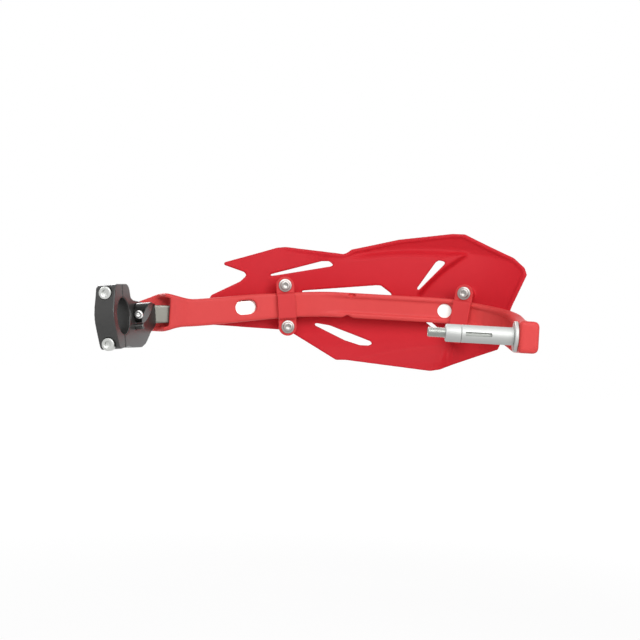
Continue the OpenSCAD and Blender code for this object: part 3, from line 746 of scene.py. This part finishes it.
@dataclass(frozen=True)
class BarLine:
    """Middle line of the bar as the solids have it, by the length along it."""

    leg: float = 62.0
    corner: float = 55.0
    front: float = 118.0
    bend: float = 150.0
    bend_degrees: float = 21.0
    rise: float = 18.3
    drop: float = 17.3
    leg_x: float = 10.7
    rise_from: float = 20.0
    rise_past: float = 7.0
    drop_before: float = 27.0
    drop_past: float = 86.0

    @property
    def s_corner(self) -> float:
        """Length at which the outer corner ends."""
        return self.leg + self.corner * math.pi / 2

    @property
    def s_front(self) -> float:
        """Length at which the straight front run ends."""
        return self.s_corner + self.front

    @property
    def s_bend(self) -> float:
        """Length at which the long bend ends."""
        return self.s_front + self.bend * math.radians(self.bend_degrees)

    def turn(self, s: float) -> float:
        """Finds the angle that the bar has turned by.

        Args:
            s: the length along the line.

        Returns:
            The angle in radians.
        """
        if s < self.s_front:
            return min(max(0.0, s - self.leg) / self.corner, math.pi / 2)
        return math.pi / 2 + min((s - self.s_front) / self.bend, math.radians(self.bend_degrees))

    def plan(self, s: float) -> Vector:
        """Finds a place in plan, with no height.

        Args:
            s: the length along the line.

        Returns:
            The place in millimetres.
        """
        centre = Vector((self.leg_x - self.corner, self.leg, 0))
        out = Vector((math.cos(self.turn(s)), math.sin(self.turn(s)), 0))
        if s < self.leg:
            return Vector((self.leg_x, s, 0))
        if s < self.s_corner:
            return centre + self.corner * out
        if s < self.s_front:
            return centre + Vector((self.s_corner - s, self.corner, 0))
        far = centre + Vector((-self.front, self.corner - self.bend, 0)) + self.bend * out
        return far + max(0.0, s - self.s_bend) * Vector((-out.y, out.x, 0))

    def level(self, s: float) -> float:
        """Height of the line."""
        up = self.rise * blend(s, self.rise_from, self.s_corner + self.rise_past)
        return up - self.drop * blend(s, self.s_front - self.drop_before, self.s_bend + self.drop_past)

    def seat(self, s: float) -> Matrix:
        """Frame at a length.

        Args:
            s: the length along the line.

        Returns:
            The frame in metres, with X out of the bar's front, Y along it and Z up.
        """
        tilt = math.atan((self.level(s + 1) - self.level(s - 1)) / 2)
        where = (self.plan(s) + Vector((0, 0, self.level(s)))) * MM
        place = Matrix.Translation(where) @ Matrix.Rotation(self.turn(s), 4, "Z")
        return place @ Matrix.Rotation(tilt, 4, "X")


@dataclass(frozen=True)
class ClampLine:
    """The clamp's frame: X along the handlebar, Y forward along the arm, Z up its bolts."""

    bar: BarLine = BarLine()
    swivel: float = 12.0
    lean: float = 7.0
    pivot_forward: float = 31.0
    pivot_up: float = 2.6
    arm_reach: float = 47.0
    strip_gap: float = 3.7
    meet: float = 76.6

    @property
    def seat(self) -> Matrix:
        """Frame at the middle of the gripped handlebar.

        Returns:
            The frame in metres.
        """
        turned_by = spin(-self.swivel, "Z") @ spin(-self.lean, "Y")
        s = self.bar.s_bend + self.meet
        back = Vector((0, -(self.pivot_forward + self.arm_reach + self.strip_gap), -self.pivot_up))
        where = self.bar.plan(s) + Vector((0, 0, self.bar.level(s))) + turned_by.to_3x3() @ back
        return Matrix.Translation(where * MM) @ turned_by

    @property
    def pivot(self) -> Matrix:
        """Frame at the knuckle, on the outer face of the arm."""
        return self.seat @ shift(0, self.pivot_forward, self.pivot_up)


BAR = BarLine()
CLAMP = ClampLine()


@dataclass
class Assembly:
    """A group of pieces that ride on one body."""

    body: str = "guard"
    made: list[str] = field(default_factory=list)

    def hand_over(self, piece: bpy.types.Object, finish: Finish, *nodes: str) -> bpy.types.Object:
        """Dresses a finished piece, seats it on the body and logs it.

        Args:
            piece: the finished mesh.
            finish: the finish that it is dressed in.
            *nodes: the solids that it stands for.

        Returns:
            The piece.
        """
        piece.data.materials.clear()
        piece.data.materials.append(material_of(finish))
        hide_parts(*nodes)
        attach(piece, self.body)
        self.made.append(piece.name)
        LOG.info("%s: %d faces", piece.name, len(piece.data.polygons))
        return piece

    def cast(self, node: str, finish: Finish, grid_mm: float, edge: Edge) -> bpy.types.Object:
        """Stands a recast copy in for a solid.

        Args:
            node: the solid's name.
            finish: the finish of the copy.
            grid_mm: the size of the copy's squares.
            edge: how round its edges get.

        Returns:
            The copy.
        """
        return self.hand_over(recast(merged_copy(node), grid_mm, edge), finish, node)

    def lathe(self, node: str, piece: bpy.types.Object, finish: Finish, seat: Matrix) -> bpy.types.Object:
        """Seats a turned piece in a solid's place.

        Args:
            node: the solid's name.
            piece: the turned piece, on the bench.
            finish: its finish.
            seat: its frame, with Z along the axis that it was turned on.

        Returns:
            The piece.
        """
        settle(piece, seat)
        smooth(piece, SHARP_TURNED)
        piece.name = f"{node}_looks"
        return self.hand_over(piece, finish, node)


@dataclass(frozen=True)
class Notch:
    """A nick in one flange of the bar, cut from the rear to its floor and below a skin.

    A skin below zero lets the cutter stand out of the flange's edge, and a floor in front of
    the flange cuts it through.
    """

    s: float
    side: int
    width: float
    depth: float
    floor: float = -3.3
    skin: float = 0.9


@dataclass
class Bar(Assembly):
    """The moulded cover and the aluminium strip inside it."""

    grid: float = 0.8
    half_height: float = 10.8
    rear: float = -6.5
    web: float = -3.3
    flange: float = 3.7
    overlap: float = 1.5
    sunk: float = 0.15
    reach: float = 20.0
    filled: tuple[Notch, ...] = (Notch(237.4, 1, 10.2, 4.0), Notch(240.4, -1, 12.0, 2.6))
    nicks: tuple[Notch, ...] = (
        Notch(229.1, 1, 10.2, 3.4), Notch(229.1, 1, 10.2, 1.7, 4.5),
        Notch(231.9, -1, 12.0, 3.2, 8.0, -0.6),
    )

    def fill(self, nick: Notch) -> bpy.types.Object:
        """Makes a piece of flange.

        Args:
            nick: the nick that it closes.

        Returns:
            The piece, in its place.
        """
        bpy.ops.object.select_all(action="DESELECT")
        bpy.ops.mesh.primitive_cube_add(size=1)
        block = added("flange")
        block.scale = Vector((self.web - self.rear, nick.width + self.overlap, self.flange)) * MM
        pick(block)
        bpy.ops.object.transform_apply(location=False, rotation=False, scale=True)
        out = (self.web + self.rear) / 2
        up = nick.side * (self.half_height - self.flange / 2 - self.sunk)
        settle(block, BAR.seat(nick.s) @ shift(out, 0, up))
        return block

    def nick(self, nick: Notch) -> bpy.types.Object:
        """Makes a three sided cutter that points to the bar's middle.

        A ring of three sides and radius 1 is the root of 3 wide and 1.5 high.

        Args:
            nick: the nick that it cuts.

        Returns:
            The cutter, in its place.
        """
        cutter = turned("nick", ((1.0, 0.0), (1.0, self.reach)), 3)
        cutter.scale = (nick.width / math.sqrt(3), nick.depth / 1.5, 1)
        up = nick.side * (self.half_height - nick.skin - nick.depth / 3)
        seat = BAR.seat(nick.s) @ shift(nick.floor, 0, up) @ spin(-90, "Y")
        settle(cutter, seat @ spin(90 * nick.side, "Z"))
        return cutter

    def cover(self) -> None:
        """Makes the cover, with the nicks in its flanges where the mould has them."""
        piece = merged_copy("bar_cover")
        for nick in self.filled:
            combine(piece, self.fill(nick), "UNION")
        for nick in self.nicks:
            combine(piece, self.nick(nick), "DIFFERENCE")
        # The cover's red holds a painted sheen.
        self.hand_over(recast(piece, self.grid, Edge.MOULDED), BAR_RED_PAINTED_SHEEN, "bar_cover")

    def build(self) -> None:
        """Makes the cover and the strip."""
        self.cover()
        self.cast("bar_core", BARE, self.grid, Edge.CRISP)


@dataclass
class WindShield(Assembly):
    """The vented shield in front of the bar, with a rolled lip along its upper edge."""

    grid: float = 0.8
    lip: float = 1.9
    sunk: float = 1.1
    step: float = 3.0
    ease: int = 8
    thin_end: float = 0.6
    rear: float = -300.0
    edge: Profile = (
        (-192, 65), (-184.5, 66.1), (-133, 62.7), (-127.3, 67.2), (-87, 78.2), (-40.4, 85.9),
        (-29.6, 86.1), (13.2, 67.4), (22.2, 59.2), (24.2, 53.2), (13, 24.8), (10.2, 13.5),
    )

    def along_edge(self) -> list[tuple[Vector, float]]:
        """Walks the edge in even steps.

        Returns:
            Places on X and Z, set in from the edge by the lip's radius, and the share of
            the way from the walk's nearer end, up to 1.
        """
        corners = [Vector(corner) for corner in self.edge]
        places = []
        for a, b in zip(corners, corners[1:]):
            inward = Vector((b.y - a.y, a.x - b.x)).normalized() * self.lip
            count = max(1, round((b - a).length / self.step))
            places += [a.lerp(b, (k + 0.5) / count) + inward for k in range(count)]
        count = len(places)
        return [(p, min(1.0, (k + 1) / self.ease, (count - k) / self.ease)) for k, p in enumerate(places)]

    def rolled_lip(self, shield: bpy.types.Object) -> bpy.types.Object:
        """Lays a round bead on the shield's rear face, just inside its edge.

        Args:
            shield: the shield.

        Returns:
            The bead, which is thinner towards both ends.
        """
        curve = bpy.data.curves.new("lip", "CURVE")
        curve.dimensions = "3D"
        curve.bevel_depth = self.lip * MM
        curve.bevel_resolution = 3
        curve.use_fill_caps = True
        spline = curve.splines.new("POLY")
        found = []
        for place, share in self.along_edge():
            start = Vector((place.x, self.rear, place.y)) * MM
            hit, at, _, _ = shield.ray_cast(start, Vector((0, 1, 0)))
            if hit:
                found.append((at + Vector((0, self.sunk * MM, 0)), share))
        spline.points.add(len(found) - 1)
        for point, (at, share) in zip(spline.points, found):
            point.co = (*at, 1)
            point.radius = self.thin_end + (1 - self.thin_end) * share
        bead = bpy.data.objects.new("lip", curve)
        bpy.context.scene.collection.objects.link(bead)
        pick(bead)
        bpy.ops.object.convert(target="MESH")
        return bead

    def build(self) -> None:
        """Makes the shield and rolls its lip into one skin with it."""
        piece = merged_copy("shield")
        bead = self.rolled_lip(piece)
        pick(piece)
        bead.select_set(True)
        bpy.ops.object.join()
        self.hand_over(recast(piece, self.grid, Edge.SOFT), SHIELD_RED, "shield")


@dataclass
class Straps(Assembly):
    """The two brackets over the bar and their four screws."""

    stations: tuple[tuple[str, float], ...] = (("inner", 286.0), ("outer", 133.2))
    grid: float = 0.45
    screw_gap: float = 35.5
    strap_up: float = -0.6
    lug_out: float = -8.1
    socket_turn: float = 17.0
    flanged: Screw = Screw(shank=2.5, length=14.0, socket=2.3, socket_floor=1.0, head=(
        (5.4, 0.0), (5.6, 0.2), (5.6, 0.75), (5.35, 1.0), (4.45, 1.25), (4.25, 1.3),
        (4.05, 2.3), (3.75, 2.8), (3.3, 3.0),
    ))

    def screw(self, node: str, s: float, side: int) -> None:
        """Makes one screw.

        Args:
            node: the solid's name.
            s: length along the bar.
            side: 1 above the bar and -1 below it.
        """
        up = self.strap_up + side * self.screw_gap / 2
        seat = BAR.seat(s) @ shift(self.lug_out, 0, up) @ spin(-90, "Y")
        piece = self.flanged.make(node)
        self.lathe(node, piece, BOLT_ZINC, seat @ spin(self.socket_turn * side + s, "Z"))

    def build(self) -> None:
        """Makes both straps and the screws."""
        for name, s in self.stations:
            self.cast(f"bracket_{name}", STRAP_RED, self.grid, Edge.MOULDED)
            for end, side in (("upper", 1), ("lower", -1)):
                self.screw(f"screw_{name}_{end}", s, side)


@dataclass
class ExpanderPlug(Assembly):
    """The plug that grips inside the handlebar's end, turned along its length inboard.

    The profiles of the wedge's ends and of the bolt's head are given as steps from the radius
    and the end that they belong to. The thread's depth is a share of its pitch.
    """

    sides: int = 96
    washer_grid: float = 0.25
    flange: float = 12.0
    flange_length: float = 2.9
    flange_chamfer: float = 0.5
    sleeve: float = 7.0
    sleeve_length: float = 41.0
    sleeve_chamfer: float = 0.4
    rim_chamfer: float = 0.35
    mouth_wall: float = 0.75
    proud: float = 0.02
    cone: float = 3.0
    bore: float = 4.1
    over: float = 1.0
    slot_width: float = 3.0
    slot_length: float = 20.7
    slot_round: float = 0.9
    wedge_length: float = 12.4
    wedge_point: float = 4.65
    wedge_near: Profile = ((-1.2, -0.05), (-0.3, 0.15), (0, 0.45))
    wedge_far: Profile = ((0, -1.1), (-0.35, -0.35), (-1.0, 0))
    shank: float = 4.0
    tip_length: float = 13.3
    tip_chamfer: tuple[float, float] = (0.5, 0.4)
    pitch: float = 1.25
    thread_share: float = 0.42
    thread_before: float = 2.0
    run_out: float = 0.8
    lead: tuple[float, float] = (0.2, 1.1)
    head_seat: float = 14.7
    head_radius: float = 6.5
    head: Profile = ((-2.6, -3.9), (-1, -3.0), (0, -1.4), (0, 0))
    head_step: float = 0.01
    drive: float = 2.9
    drive_floor: float = 1.2
    drive_end: float = 5.0

    @property
    def inboard(self) -> Matrix:
        """Frame at the washer's face with Z inboard along the plug."""
        return spin(-90, "Y")

    def bored(self, piece: bpy.types.Object, low: float, high: float) -> bpy.types.Object:
        """Bores a piece for the bolt."""
        rings = ((self.bore, low - self.over), (self.bore, high + self.over))
        return combine(piece, turned("bore", rings), "DIFFERENCE")

    def washer(self) -> None:
        """Makes the thick washer against the handlebar's end."""
        thick, r, cut = self.flange_length, self.flange, self.flange_chamfer
        rings = ((r - cut, -thick), (r, cut - thick), (r, -cut), (r - cut, 0))
        piece = turned("washer", rings, self.sides)
        self.lathe("plug_washer", self.bored(piece, -thick, 0), TURNED_ZINC, self.inboard)

    def slot(self) -> bpy.types.Object:
        """Makes the cutter of the sleeve's slot, which goes through both walls.

        Returns:
            The cutter, on the bench.
        """
        bpy.ops.object.select_all(action="DESELECT")
        middle = self.sleeve_length - self.cone - self.slot_length / 2
        bpy.ops.mesh.primitive_cube_add(size=1, location=(0, 0, middle * MM))
        slot = added("slot")
        slot.scale = (self.slot_width * MM, 4 * self.sleeve * MM, self.slot_length * MM)
        pick(slot)
        bpy.ops.object.transform_apply(location=True, rotation=True, scale=True)
        apply(slot, "BEVEL", width=self.slot_round * MM, segments=4, limit_method="ANGLE")
        return slot

    def expander(self) -> None:
        """Makes the slotted sleeve with its conical mouth."""
        r, far, cut, rim = self.sleeve, self.sleeve_length, self.sleeve_chamfer, self.rim_chamfer
        piece = turned("sleeve", ((r - cut, 0), (r, cut), (r, far - rim), (r - rim, far)), self.sides)
        inner = r - self.mouth_wall
        mouth = turned("mouth", (
            (self.bore, far - self.cone), (inner, far + self.proud), (inner, far + self.over),
        ))
        combine(self.bored(piece, 0, far), mouth, "DIFFERENCE")
        combine(piece, self.slot(), "DIFFERENCE")
        self.lathe("plug_sleeve", piece, TURNED_ZINC, self.inboard)

    def wedge(self) -> None:
        """Makes the wedge nut, whose cone spreads the sleeve."""
        r, low, far = self.sleeve, self.sleeve_length, self.sleeve_length + self.wedge_length
        piece = turned("wedge", (
            (self.wedge_point, low + self.over - self.cone),
            *((r + out, low + along) for out, along in self.wedge_near),
            *((r + out, far + along) for out, along in self.wedge_far),
        ), self.sides)
        self.lathe("plug_wedge", self.bored(piece, low - self.cone, far), TURNED_ZINC, self.inboard)

    def bolt(self) -> None:
        """Makes the long bolt, with its thread beyond the wedge nut."""
        r, root = self.shank, self.shank - self.pitch * self.thread_share
        far = self.sleeve_length + self.wedge_length + self.tip_length
        start, seat = self.sleeve_length - self.thread_before, -self.head_seat
        slim, rise = self.tip_chamfer
        blank = turned("bolt", (
            *((self.head_radius + out, seat + along) for out, along in self.head),
            (r, seat + self.head_step), (r, start), (root, start + self.run_out),
            (root, far - rise), (root - slim, far),
        ))
        inner, back = self.lead
        limit = turned("limit", (
            (r + self.over, start), (r + self.over, far - back), (root - inner, far + rise),
        ))
        ridge = helix("thread", r, self.pitch, start + self.over, far + self.over)
        combine(ridge, limit, "INTERSECT")
        combine(blank, ridge, "UNION")
        rings = ((self.drive, seat - self.drive_end), (self.drive, seat - self.drive_floor))
        combine(blank, turned("drive", rings, 6), "DIFFERENCE")
        self.lathe("plug_bolt", blank, THREAD_ZINC, self.inboard)

    def build(self) -> None:
        """Makes the washer, sleeve, wedge nut, bolt and the bolt's own washer."""
        self.washer()
        self.expander()
        self.wedge()
        self.bolt()
        self.cast("plug_bolt_washer", ZINC, self.washer_grid, Edge.CRISP)


@dataclass
class Swivel(Assembly):
    """The knuckle that joins the strip to the clamp's arm."""

    grid: float = 0.3
    lock_out: float = 4.4
    lock_degrees: float = 10.0
    knuckle: float = 8.1
    lock_sink: float = 0.8
    lock: Screw = Screw(
        shank=2.0, length=3.2, socket=1.45, socket_floor=0.9, tip=(0.3, 0.3), sides=48,
        head=((3.2, 0), (3.4, 0.2), (3.4, 1.5), (3.15, 1.95), (2.7, 2.2)),
    )

    def lock_screw(self) -> None:
        """Makes the socket screw in the knuckle's near side."""
        seat = CLAMP.pivot @ shift(self.lock_out, 0, 0) @ spin(90 + self.lock_degrees, "X")
        out = shift(0, 0, self.knuckle - self.lock_sink)
        # The lock screw wears the near white zinc that paints its highlight.
        self.lathe("knuckle_screw", self.lock.make("lock"), LOCK_ZINC_PAINTED_HIGHLIGHT, seat @ out)

    def build(self) -> None:
        """Makes the knuckle, its screw, and the pivot's bolt and washer."""
        self.cast("knuckle", GLOSS_BLACK, self.grid, Edge.EASED)
        self.lock_screw()
        self.cast("pivot_bolt", ZINC, self.grid, Edge.CRISP)
        self.cast("pivot_washer", ZINC, self.grid, Edge.CRISP)


@dataclass
class HandlebarClamp(Assembly):
    """The two part clamp with its arm, bolts and stop."""

    body: str = "clamp"
    grid: float = 0.45
    pin_grid: float = 0.2
    bolt_gap: float = 39.6
    bolt_drop: float = 1.9
    width: float = 16.0
    seat_forward: float = -12.0
    socket_turn: float = 12.0
    socket_head: Screw = Screw(
        shank=2.5, length=20.0, socket=2.9, socket_floor=3.0,
        head=((4.8, 0), (5.0, 0.2), (5.0, 5.45), (4.8, 5.8), (4.35, 6.0)),
    )

    def bolt(self, node: str, side: int) -> None:
        """Makes one of the two socket head bolts.

        Args:
            node: the solid's name.
            side: 1 above the handlebar and -1 below it.
        """
        up = side * self.bolt_gap / 2 - self.bolt_drop
        seat = CLAMP.seat @ shift(-self.width / 2, self.seat_forward, up) @ spin(90, "X")
        self.lathe(node, self.socket_head.make(node), ZINC, seat @ spin(self.socket_turn * side, "Z"))

    def build(self) -> None:
        """Makes the body, the cap, the bolts and the stop pin."""
        self.cast("clamp_body", BLACK, self.grid, Edge.SOFT)
        self.cast("clamp_cap", BLACK, self.grid, Edge.SOFT)
        for end, side in (("upper", 1), ("lower", -1)):
            self.bolt(f"clamp_bolt_{end}", side)
        self.cast("stop_pin", GREY, self.pin_grid, Edge.CRISP)


@dataclass
class Softbox:
    """A rectangular lamp that looks at the part."""

    name: str
    place: tuple[float, float, float]
    size: tuple[float, float]
    watts: float


@dataclass
class Studio:
    """Camera, floor, backdrop and lamps."""

    eye: Vector = field(default_factory=lambda: Vector((-0.1514, -1.092, 0.0042)))
    roll_degrees: float = 3.3
    lens: float = 78.75
    sensor: float = 36.0
    near: float = 0.01
    target: Vector = field(default_factory=lambda: Vector((-0.15, 0.05, 0.02)))
    floor_drop: float = 0.22
    floor_size: float = 9.0
    fill: float = 0.25
    shade_share: float = 0.14
    shade_from: float = 0.25
    shade_to: float = 0.9
    floor_glow: float = 1.02
    floor_grey: Colour = (0.8, 0.8, 0.8)
    boxes: tuple[Softbox, ...] = (
        Softbox("right", (0.65, -1.22, 0.57), (0.9, 0.9), 9.5),
        Softbox("high", (-0.26, -1.26, 0.94), (0.9, 0.9), 10.5),
        Softbox("top", (-0.15, -0.28, 1.58), (0.9, 0.9), 3.0),
        Softbox("back", (-1.0, 1.35, 0.75), (0.9, 0.9), 17.0),
    )

    def build(self) -> None:
        """Sets up the whole studio."""
        self.camera()
        self.backdrop()
        self.floor()
        for box in self.boxes:
            self.lamp(box)
        bpy.context.scene.view_settings.view_transform = "Standard"

    def camera(self) -> None:
        """Places the camera where the photographer's stood."""
        data = bpy.data.cameras.new("eye")
        data.lens = self.lens
        data.sensor_width = self.sensor
        data.clip_start = self.near
        camera = bpy.data.objects.new("eye", data)
        bpy.context.scene.collection.objects.link(camera)
        camera.matrix_world = Matrix.Translation(self.eye) @ spin(-self.roll_degrees, "Y") @ spin(90, "X")
        bpy.context.scene.camera = camera

    def seen(self, bench: Bench) -> Signal:
        """Tells whether the camera, a mirror or glass looks.

        Args:
            bench: the bench to work on.

        Returns:
            1 where one of them looks and 0 where light only falls.
        """
        path = bench.node("ShaderNodeLightPath").outputs
        looks = Signal(bench, path["Is Camera Ray"]) + Signal(bench, path["Is Glossy Ray"])
        return (looks + Signal(bench, path["Is Transmission Ray"])).clamped()

    def backdrop(self) -> None:
        """Makes the world white to look at and softer as a light."""
        world = bpy.data.worlds.new("studio")
        bpy.context.scene.world = world
        bench = Bench(world)
        level = self.seen(bench) * (1 - self.fill) + self.fill
        glow = bench.node("ShaderNodeBackground", {}, {"Color": (1, 1, 1, 1), "Strength": level})
        bench.node("ShaderNodeOutputWorld", {}, {"Surface": glow.outputs[0]})

    def floor(self) -> None:
        """Lays a pale floor below the part that keeps its soft shadow and fades to white."""
        low = CAD_BOX[0].z - self.floor_drop
        bpy.ops.object.select_all(action="DESELECT")
        bpy.ops.mesh.primitive_plane_add(size=self.floor_size, location=(self.target.x, 0, low))
        plane = added("floor")
        bench = Bench(bpy.data.materials.new("floor"))
        away = bench.node("ShaderNodeVectorMath", {"operation": "LENGTH"}, {0: bench.place()})
        far = bench.ramp(Signal(bench, away.outputs["Value"]), self.shade_from, self.shade_to)
        white = self.seen(bench) * (1 - self.shade_share + far * self.shade_share)
        matt = bench.node("ShaderNodeBsdfDiffuse", {}, {"Color": (*self.floor_grey, 1)})
        glow = bench.node("ShaderNodeEmission", {}, {"Color": (1, 1, 1, 1), "Strength": self.floor_glow})
        mixed = bench.node("ShaderNodeMixShader", {}, {0: white, 1: matt.outputs[0], 2: glow.outputs[0]})
        bench.node("ShaderNodeOutputMaterial", {}, {"Surface": mixed.outputs[0]})
        plane.data.materials.append(bench.holder)

    def lamp(self, box: Softbox) -> None:
        """Hangs one softbox and turns it to the part.

        Args:
            box: the softbox.
        """
        data = bpy.data.lights.new(box.name, "AREA")
        data.shape = "RECTANGLE"
        data.size, data.size_y = box.size
        data.energy = box.watts
        lamp = bpy.data.objects.new(box.name, data)
        bpy.context.scene.collection.objects.link(lamp)
        lamp.location = box.place
        lamp.rotation_euler = (self.target - lamp.location).to_track_quat("-Z", "Y").to_euler()


def main() -> None:
    """Builds the studio and every sub-assembly, and reports the pieces."""
    logging.basicConfig(level=logging.INFO, format="%(message)s")
    Studio().build()
    total = 0
    for part in (Bar(), WindShield(), Straps(), ExpanderPlug(), Swivel(), HandlebarClamp()):
        part.build()
        total += len(part.made)
        LOG.info("%s: %s", type(part).__name__, ", ".join(part.made))
    LOG.info("%d pieces in all", total)


if __name__ == "__main__":
    main()
